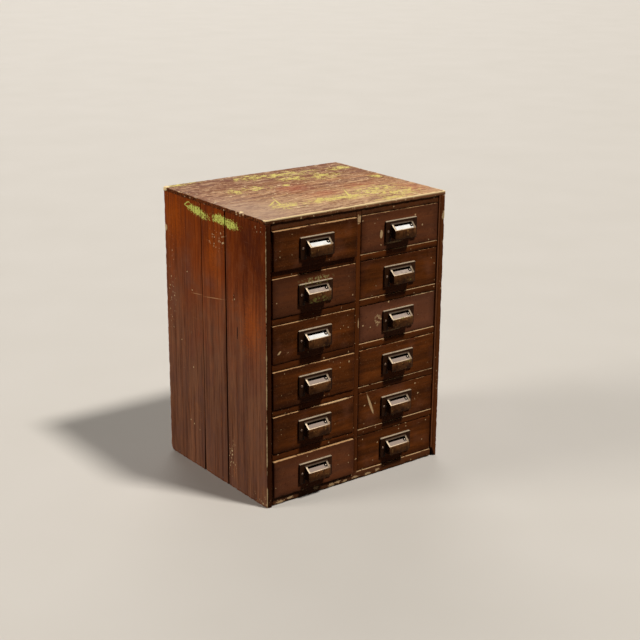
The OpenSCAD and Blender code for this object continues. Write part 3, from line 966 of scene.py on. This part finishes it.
post = plank(*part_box("centre_divider"), RAIL_EASE_MM, RAIL_STEP_MM)
hair = Vector((1, 1, 1)) * HAIR_MM * MM
rail_low, rail_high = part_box("bottom_rail")
cut_out(post, block(rail_low - hair, rail_high + hair))
divider = joined("centre_divider_worn", [wear(post, POST_CHIP_MM)])
fit(divider, "case", "stained_rail", post_wood, "centre_divider")

# %% [markdown]
# ## Drawer fronts
# Each front is a board with eased edges, rebated at the back for the sides of its box and grooved for
# its bottom. The rebates and the groove are cut by the very pieces that sit in them, grown by a hair.
# One front is made, and each drawer gets a copy, which then wears in its own way. The stain is dark and
# smooth, a few boards have gone dull, the upper edges are rubbed pale, and some fronts are scraped.

# %% Finish of the drawer fronts
def front_finish():
    material, tree = new_material("stained_softwood_front")
    wood = wood_layers(tree, "x")
    edge, below_top = edge_distance(tree, wood.mm)
    base = stained_base(tree, wood, "#4e260c", "#7a3e15", "#2e1405", 0.5)
    # Painted shade: the left part of the left-hand fronts is darkened, for light that falls off towards
    # the left
    leftward = along_axis(tree, wood.mm, "X", -90, -215, 0, 0.5)

    # A few boards have bloomed dull all over, and the others only here and there
    own_dull = add(tree, "Attribute", attribute_name="dullness").outputs["Fac"]
    cloudy = add(tree, "MapRange", wood.blotches, 0.3, 0.7, 0.6, 1)
    spots = add(tree, "MapRange", wood.blotches, 0.5, 0.72, 0, 0.45)
    dulled = add(tree, "Math", own_dull, cloudy, operation="MULTIPLY")
    dulled = add(tree, "Math", dulled, spots, operation="MAXIMUM")
    specks = add(tree, "MapRange", wood.crumbs, 0.6, 0.72, 0, 0.4)
    pits = add(tree, "MapRange", wood.grit, 0.42, 0.3, 0, 0.5)
    # Each front is darker towards its edges
    darkening = add(tree, "MapRange", edge, 0, 18, 0.5, 0)

    # Bare wood: the upper edge, stray chips, and the scrapes that single drawers carry
    rubbed = worn_edge(tree, wood, below_top, 1.1, 0.65)
    scrapes = [
        ((40, -188, 165), (3.2, 40, 28), 21, 1),
        ((-58, -193, 195), (48, 40, 2.6), 0, 1.4),
        ((176, -188, 387.5), (44, 40, 2.2), 0, 1.4),
        ((60, -188, 534), (4, 40, 10), 0, 1.6),
        ((95, -188, 513), (27, 40, 1.8), 0, 2),
        ((95, -188, 321), (27, 40, 1.6), 0, 2),
        ((-197, -193, 330), (6, 40, 2.2), 40, 2),
        ((-22, -193, 276), (2, 40, 2.4), 0, 1),
    ]
    bare = any_of(tree, [
        worn_edge(tree, wood, edge, 1.1, -0.25),
        flecks(tree, wood, 10, 2, 0.24),
        within(tree, wood, flecks(tree, wood, 4, 3.6, 0.8), [((56, -188, 350), (11, 40, 16))]),
        *[blot(tree, wood, centre, half, turn, ragged=ragged) for centre, half, turn, ragged in scrapes],
    ])
    old_paint = flecks(tree, wood, 4, 3.6, 0.65)
    old_paint = within(tree, wood, old_paint, [((-108, -193, 468), (52, 40, 8))])

    # All the coats, from the stain outwards
    base = lay_coats(tree, base, [
        (leftward, "#301609"),
        (dulled, "#7c4c36"),
        (specks, "#96663e"),
        (pits, "#2a1206"),
        (darkening, "#2a1006"),
        (rubbed, "#c09464"),
        (bare, "#d2ac7c"),
        (old_paint, "#a0905c"),
    ])
    rough = add(tree, "MapRange", wood.blotches, 0.35, 0.7, 0.36, 0.55)
    rough = add(tree, "Mix", bare, rough, 0.85, data_type="FLOAT")
    close_surface(tree, base, rough, varnish_height(tree, wood), 0.16, Specular_IOR_Level=0.03)
    return material


front_wood = front_finish()
print("finish:", front_wood.name)

# %% Drawer fronts
FRONT_EASE_MM = 1.2
FRONT_STEP_MM = 4
FRONT_CHIP_MM = 1.1
DULL_FRONTS = {"right_3": 0.9, "right_1": 0.55, "left_6": 0.5, "left_2": 0.35}

first_low, first_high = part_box("left_1_front")
first_front = plank(first_low, first_high, FRONT_EASE_MM, FRONT_STEP_MM)
for box_low, box_high in solids("left_1_box"):
    if box_low.y < first_high.y:
        cut_out(first_front, block(box_low - hair, box_high + hair))

for drawer in drawers:
    front = moved_copy(first_front, f"{drawer}_front_worn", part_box(f"{drawer}_front")[0] - first_low)
    wear(front, FRONT_CHIP_MM)
    layer = front.data.attributes.new("dullness", "FLOAT", "POINT")
    layer.data.foreach_set("value", np.full(len(front.data.vertices), DULL_FRONTS.get(drawer, 0)))
    fit(front, f"{drawer}_drawer", "stained_front", front_wood, f"{drawer}_front")
bpy.data.objects.remove(first_front)

# %% [markdown]
# ## Pressed-steel pulls
# A pull is one stamping: a flanged plate, and a hood with a sloping label window. The CAD sheet metal has
# the right folds, so a merged copy of it is the start. Its flat faces are dissolved to single faces, the
# outer fold of the plate is rounded as a press leaves it, and a Bevel modifier breaks the other sharp
# edges. The steel was japanned brown. The hollows are painted black, for lacquer and grime left in them
# and as painted shade, and the slot above each card is painted black as shade. The folds and the frame
# of the window, where fingers go, are down to dull bare metal, which on the faces that look up is partly
# a painted highlight. Paint has run on to a few of them.
# Each point notes its place on the pull, in mm to the left, out from the drawer and down from the rim,
# so that one finish can tell the plate, the window and the skirt apart.

# %% Finish of the pulls
# Places on a pull in mm: the stud, and the window's slope by its outward direction and its distance
STUD_AT = (-20, 10.7, 14.3)
SLOPE_OUT = (0, 0.68, -0.733)
SLOPE_AT = -2.04


def pull_finish():
    material, tree = new_material("japanned_steel")
    mm = place_mm(tree)
    place = add(tree, "Attribute", attribute_name="pull_place").outputs["Vector"]
    side, out, down = add(tree, "SeparateXYZ", place).outputs
    cloudy = add(tree, "TexNoise", mm, Scale=1 / 14, Detail=5, Roughness=0.65)
    fine = add(tree, "TexNoise", mm, Scale=1 / 2.5, Detail=3)
    metal = SimpleNamespace(mm=mm, own=mm, torn=add(tree, "Math", fine, cloudy, operation="ADD"))
    geometry = add(tree, "NewGeometry")

    # The plate stays black-brown, and the skirt is browner, most of all by its upper fold: partly rubbed
    # lacquer, partly a painted highlight that fades towards the skirt's lower edge
    plate = add(tree, "Mix", cloudy, colour("#140a05"), colour("#40220f"), data_type="RGBA")
    mottled = add(tree, "MapRange", cloudy, 0.36, 0.62)
    skirt = add(tree, "Mix", mottled, colour("#3a1e0c"), colour("#80502a"), data_type="RGBA")
    lower = add(tree, "MapRange", down, 20, 38, 0.9, 0.25)
    forward = add(tree, "MapRange", out, 12, 17)
    skirt_brown_and_highlight = add(tree, "Math", lower, forward, operation="MULTIPLY")
    worn_spots = add(tree, "Math", flecks(tree, metal, 5, 3, 0.2), skirt_brown_and_highlight, operation="MULTIPLY")

    # Folds, the plate's upper rim and the frame of the window are worn to dull metal. On the rim and on
    # the frame's faces that look up, the pale metal is partly a painted highlight for the light they catch
    # from above
    rounded = add(tree, "Bevel", Radius=1.1 * MM, samples=6)
    bend = add(tree, "VectorMath", rounded, geometry.outputs["Normal"], operation="DOT_PRODUCT")
    sharp = add(tree, "MapRange", bend.outputs["Value"], 0.99, 0.86, 0, 0.45)
    upward = along_axis(tree, geometry.outputs["Normal"], "Z", 0.35, 0.65)
    below_bar = add(tree, "MapRange", down, 8, 9.5, 0.12, 1)
    left_bar = add(tree, "MapRange", side, -24, -20, 0.5, 0.9)
    below_bar = add(tree, "Math", below_bar, left_bar, operation="MULTIPLY")
    rim = add(tree, "MapRange", down, 2, 1.2, 0, 0.9)
    handled_and_highlit = add(tree, "Math", below_bar, upward, operation="MULTIPLY")
    handled_and_highlit = add(tree, "Math", handled_and_highlit, rim, operation="MAXIMUM")
    # Painted shade: points below the window's slope, in the slot above the card, are marked to be painted
    # black for the shade of the deep opening there
    height = add(tree, "VectorMath", place, SLOPE_OUT, operation="DOT_PRODUCT").outputs["Value"]
    slot_shade = add(tree, "MapRange", height, SLOPE_AT - 1.3, SLOPE_AT - 1.6)
    slot_shade = add(tree, "Math", slot_shade, upward, operation="MULTIPLY")
    rubbed = add(tree, "Math", sharp, handled_and_highlit, operation="MAXIMUM")
    patchy = add(tree, "MapRange", cloudy, 0.3, 0.55, 0.7, 1)
    bare = add(tree, "Math", rubbed, patchy, operation="MULTIPLY")

    # Painted shade: ambient occlusion blackens the hollows, for grime and for the shade in them, and the
    # slot above the card is blackened as shade
    hollow = add(tree, "AmbientOcclusion", Distance=9 * MM, samples=6).outputs["AO"]
    darkening = add(tree, "MapRange", hollow, 0.5, 0.2)
    darkening = add(tree, "Math", darkening, slot_shade, operation="MAXIMUM")
    paint = within(tree, metal, flecks(tree, metal, 3.5, 2.8, 0.65), [
        ((-112, -206, 430), (34, 9, 12)),
        ((-111, -192, 462), (52, 8, 4)),
        ((126, -204, 252), (14, 9, 5)),
        ((124, -204, 430), (12, 9, 5)),
        ((112, -203, 348), (32, 9, 5)),
    ])
    # Painted light on the stud: a black ring for its shaded side and the shadow round it, and a painted
    # highlight in its middle
    from_stud = add(tree, "VectorMath", place, STUD_AT, operation="DISTANCE")
    stud_shade = add(tree, "MapRange", from_stud.outputs["Value"], 2.9, 2.7)
    stud_highlight = add(tree, "MapRange", from_stud.outputs["Value"], 1.7, 1.3)

    # All the coats, from the lacquer outwards
    base = lay_coats(tree, plate, [
        (skirt_brown_and_highlight, skirt),
        (worn_spots, "#946a3a"),
        (bare, "#c4ae90"),
        (darkening, "#090503"),
        (paint, "#7c7138"),
        (stud_shade, "#0c0704"),
        (stud_highlight, "#e0ccb4"),
    ])
    shine = add(tree, "Math", bare, 0.3, operation="MULTIPLY")
    rough = add(tree, "MapRange", fine, 0.3, 0.7, 0.36, 0.52)
    close_surface(tree, base, rough, fine, 0.05, Metallic=shine, Specular_IOR_Level=0.04)
    return material


pull_steel = pull_finish()
print("finish:", pull_steel.name)

# %% Pulls
STAMP_ROUND_MM = 0.28
FOLD_ROUND_MM = 1.0
PLATE_R_MM, PLATE_H_MM, PLATE_OFF_MM = 3, 45, 4


def plate_rim(pull, face_y):
    """The edges where the front of the plate folds back, one true or false for each edge."""
    low, high = corners_of(pull)
    points = np.array([v.co for v in pull.data.vertices]) / MM
    middle = np.array(((low.x + high.x) / 2, high.z)) / MM - (0, PLATE_H_MM / 2)
    half = np.array(((high.x - low.x) / MM, PLATE_H_MM)) / 2
    past = np.abs(points[:, [0, 2]] - middle) - (half - PLATE_R_MM)
    outline = np.linalg.norm(np.maximum(past, 0), axis=1) + np.minimum(past.max(axis=1), 0) - PLATE_R_MM
    on_front = np.abs(points[:, 1] - (face_y / MM - PLATE_OFF_MM)) < 0.02
    on_rim = on_front & (np.abs(outline) < 0.05)
    ends = np.array([e.vertices for e in pull.data.edges])
    return on_rim[ends[:, 0]] & on_rim[ends[:, 1]]


first_pull = cad_copy("left_1_pull", "first_pull")
edit(bpy.ops.mesh.dissolve_limited, angle_limit=math.radians(1))
rim = plate_rim(first_pull, first_low.y)
select_edges(first_pull.data, rim)
edit(bpy.ops.mesh.bevel, whole=False, offset=FOLD_ROUND_MM * MM, segments=3, affect="EDGES")
soften = first_pull.modifiers.new("soften", "BEVEL")
soften.width = STAMP_ROUND_MM * MM
soften.segments = 2
soften.limit_method = "ANGLE"
soften.angle_limit = math.radians(40)
soften.use_clamp_overlap = False
bpy.ops.object.modifier_apply(modifier="soften")
print("edges in the fold of the plate:", int(rim.sum()))

pull_low, pull_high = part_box("left_1_pull")
middle = Vector(((pull_low.x + pull_high.x) / 2, first_low.y, pull_high.z))
places = [((v.co - middle) * -1) / MM for v in first_pull.data.vertices]
layer = first_pull.data.attributes.new("pull_place", "FLOAT_VECTOR", "POINT")
layer.data.foreach_set("vector", np.array(places).ravel())
for drawer in drawers:
    pull = moved_copy(first_pull, f"{drawer}_pull_worn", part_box(f"{drawer}_pull")[0] - pull_low)
    fit(pull, f"{drawer}_drawer", "pressed_steel", pull_steel, f"{drawer}_pull")
bpy.data.objects.remove(first_pull)

# %% [markdown]
# ## Screws and nails
# A round-headed screw holds each flange of a pull, and flat nails hold the boards of the case. A screw
# starts as a sphere that is flattened to a dome, cut off at its foot and slotted. A nail head is a short
# disc with its rim rounded. Each is made once and copied, the slots at all angles, as screws end up.

# %% Screws
HEAD_R_MM, HEAD_H_MM = 2.9, 1.9
SLOT_W_MM, SLOT_FLOOR_MM = 0.9, 0.9
SCREW_OUT_MM, SCREW_DOWN_MM = 35.5, 22.5


def steel_finish(name, dark, worn):
    """Bare steel that has rusted a little: brown in patches, with dull bright spots."""
    material, tree = new_material(name)
    mm = place_mm(tree)
    rust = add(tree, "TexNoise", mm, Scale=1 / 2, Detail=4, Roughness=0.6)
    spread = add(tree, "MapRange", rust, 0.4, 0.6)
    base = add(tree, "Mix", spread, colour(worn), colour(dark), data_type="RGBA")
    rough = add(tree, "MapRange", rust, 0.4, 0.6, 0.3, 0.6)
    shine = add(tree, "MapRange", rust, 0.4, 0.6, 0.8, 0.3)
    close_surface(tree, base, rough, rust, 0.06, Metallic=shine)
    return material


bpy.ops.object.select_all(action="DESELECT")
bpy.ops.mesh.primitive_uv_sphere_add(segments=20, ring_count=12, radius=HEAD_R_MM * MM)
first_screw = bpy.context.active_object
bpy.ops.transform.resize(value=(1, HEAD_H_MM / HEAD_R_MM, 1))
bpy.ops.object.transform_apply(location=False, rotation=False, scale=True)
edit(bpy.ops.mesh.bisect, plane_co=(0, 0, 0), plane_no=(0, 1, 0), use_fill=True, clear_outer=True)
slot_low = Vector((-HEAD_R_MM, -2 * HEAD_H_MM, -SLOT_W_MM / 2)) * MM
slot_high = Vector((HEAD_R_MM, -SLOT_FLOOR_MM, SLOT_W_MM / 2)) * MM
cut_out(first_screw, block(slot_low, slot_high))

screw_steel = steel_finish("rusted_screw_steel", "#4a3020", "#8c7460")
for drawer in drawers:
    low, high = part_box(f"{drawer}_pull")
    face_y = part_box(f"{drawer}_front")[0].y - PLATE_OFF_MM * MM
    pair = []
    for out in (-SCREW_OUT_MM, SCREW_OUT_MM):
        screw = moved_copy(first_screw, "screw", Vector())
        screw.data.transform(Matrix.Rotation(draw.uniform(0, math.pi), 4, "Y"))
        foot = Vector(((low.x + high.x) / 2 + out * MM, face_y, high.z - SCREW_DOWN_MM * MM))
        screw.data.transform(Matrix.Translation(foot))
        pair.append(screw)
    fit(joined(f"{drawer}_screws", pair), f"{drawer}_drawer", "pressed_steel", screw_steel)
bpy.data.objects.remove(first_screw)

# %% Nails
NAIL_R_MM, NAIL_T_MM, NAIL_SUNK_MM = 1.9, 1.2, 0.06
NAIL_IN_MM, NAIL_UP_MM, NAIL_ROUND_MM = 6, 8, 0.3
NAIL_STRAY, NAIL_STRAY_MM = 0.06, 1

bpy.ops.object.select_all(action="DESELECT")
bpy.ops.mesh.primitive_cylinder_add(vertices=14, radius=NAIL_R_MM * MM, depth=NAIL_T_MM * MM)
first_nail = bpy.context.active_object
edit(bpy.ops.mesh.bevel, offset=NAIL_ROUND_MM * MM, segments=2, affect="EDGES")
nails = []


def drive(place, outward):
    """Drive a nail at a place in a face that looks outward, its head just under the face's plane."""
    nail = moved_copy(first_nail, "nail", Vector((0, 0, -(NAIL_T_MM / 2 + NAIL_SUNK_MM) * MM)))
    nail.data.transform(Vector(outward).to_track_quat("Z", "Y").to_matrix().to_4x4())
    nail.data.transform(Matrix.Translation(place))
    nails.append(nail)


def about(low, high, share):
    """A place near a share of the way from low to high, as a hand sets a nail."""
    return low + (high - low) * (share + draw.uniform(-NAIL_STRAY, NAIL_STRAY))


low, high = top_panel
for x in (low.x + NAIL_IN_MM * MM, high.x - NAIL_IN_MM * MM):
    for board_low, board_high in solids("top_boards"):
        for share in (0.2, 0.8):
            y = about(board_low.y, board_high.y, share)
            stray = draw.uniform(-NAIL_STRAY_MM, NAIL_STRAY_MM)
            drive(Vector((x + stray * MM, y, high.z)), (0, 0, 1))
for side, outward in (("left", -1), ("right", 1)):
    for board_low, board_high in solids(f"{side}_side_boards"):
        for share in (0.25, 0.75):
            y = about(board_low.y, board_high.y, share)
            x = board_low.x if outward < 0 else board_high.x
            stray = draw.uniform(-NAIL_STRAY_MM, NAIL_STRAY_MM)
            drive(Vector((x, y, (NAIL_UP_MM + stray) * MM)), (outward, 0, 0))
for board_low, board_high in solids("back_boards"):
    for z in (board_low.z + NAIL_IN_MM * MM, board_high.z - NAIL_IN_MM * MM):
        for share in (0.2, 0.8):
            x = about(board_low.x, board_high.x, share)
            drive(Vector((x, board_high.y, z)), (0, 1, 0))
bpy.data.objects.remove(first_nail)
nail_steel = steel_finish("rusted_nail_steel", "#33201a", "#6d5648")
fit(joined("case_nails", nails), "case", "pressed_steel", nail_steel)

# %% [markdown]
# ## Label cards
# The cards are plain pasteboard in the windows. Three are fresh and white, and the others have gone
# mauve-grey with handling. The CAD cards have the right shape, so they keep it and get a paper finish.

# %% Cards
def card_finish(name, fresh, soiled):
    material, tree = new_material(name)
    mm = place_mm(tree)
    stains = add(tree, "TexNoise", mm, Scale=1 / 9, Detail=4)
    # Real pulp is too fine to show, so its grains are drawn 0.8 mm apart
    pulp = add(tree, "TexNoise", mm, Scale=1 / 0.8, Detail=3)
    soil = add(tree, "MapRange", stains, 0.4, 0.7, 0, 0.8)
    lower = along_axis(tree, mm, "Z", 440, 240, 0, 0.7)
    soil = add(tree, "Math", soil, lower, operation="MAXIMUM")
    base = add(tree, "Mix", soil, colour(fresh), colour(soiled), data_type="RGBA")
    close_surface(tree, base, 0.85, pulp, 0.03, Specular_IOR_Level=0.3)
    return material


card_papers = {
    "white_card": card_finish("fresh_pasteboard", "#fffcf4", "#efe8dc"),
    "grey_card": card_finish("handled_pasteboard", "#bca898", "#947f70"),
}
slots = {part["node"]: part["material_slot"] for part in frame["record"]["subparts"]}
for drawer in drawers:
    card = frame["nodes"][f"{drawer}_card"]
    coat_all(card, card_papers[slots[card.name]])
print("cards:", len(drawers))

# %% [markdown]
# ## Bare wood inside
# Drawer boxes, runners and stops were never stained. They are softwood that has gone brown with age and
# dust, with grain that runs from front to back. The liners behind the side boards show beside the
# drawers, so they were stained with the rails. The back is bare boards, grey-brown from damp walls.

# %% Bare wood
def bare_finish(name, grain, pale, tan, dark):
    material, tree = new_material(name)
    wood = wood_layers(tree, grain)
    dust = add(tree, "MapRange", wood.blotches, 0.45, 0.75, 0, 0.5)
    base = lay_coats(tree, stained_base(tree, wood, tan, pale, dark, 0.6), [(dust, dark)])
    rough = add(tree, "MapRange", wood.grit, 0.3, 0.7, 0.65, 0.85)
    close_surface(tree, base, rough, varnish_height(tree, wood), 0.25, Specular_IOR_Level=0.25)
    return material


box_wood = bare_finish("aged_bare_softwood", "y", "#a87c4e", "#8a603a", "#634124")
liner_wood = bare_finish("stained_liner_softwood", "z", "#8a4a1c", "#703c16", "#4c260e")
board_wood = bare_finish("aged_back_softwood", "z", "#8a6444", "#6e4c32", "#4a3220")
inner = {f"{drawer}_box": box_wood for drawer in drawers}
inner.update(drawer_runners=box_wood, drawer_stops=box_wood, bottom_board=box_wood, side_liners=liner_wood)
for name, material in inner.items():
    coat_all(frame["nodes"][name], material)
BACK_CHIP_MM = 1.2
back_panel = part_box("back_boards")
backs = joined("back_worn", [
    wear(plank(low, high, SIDE_EASE_MM, SIDE_STEP_MM), BACK_CHIP_MM, back_panel)
    for low, high in solids("back_boards")
])
fit(backs, "case", "bare_wood", board_wood, "back_boards")
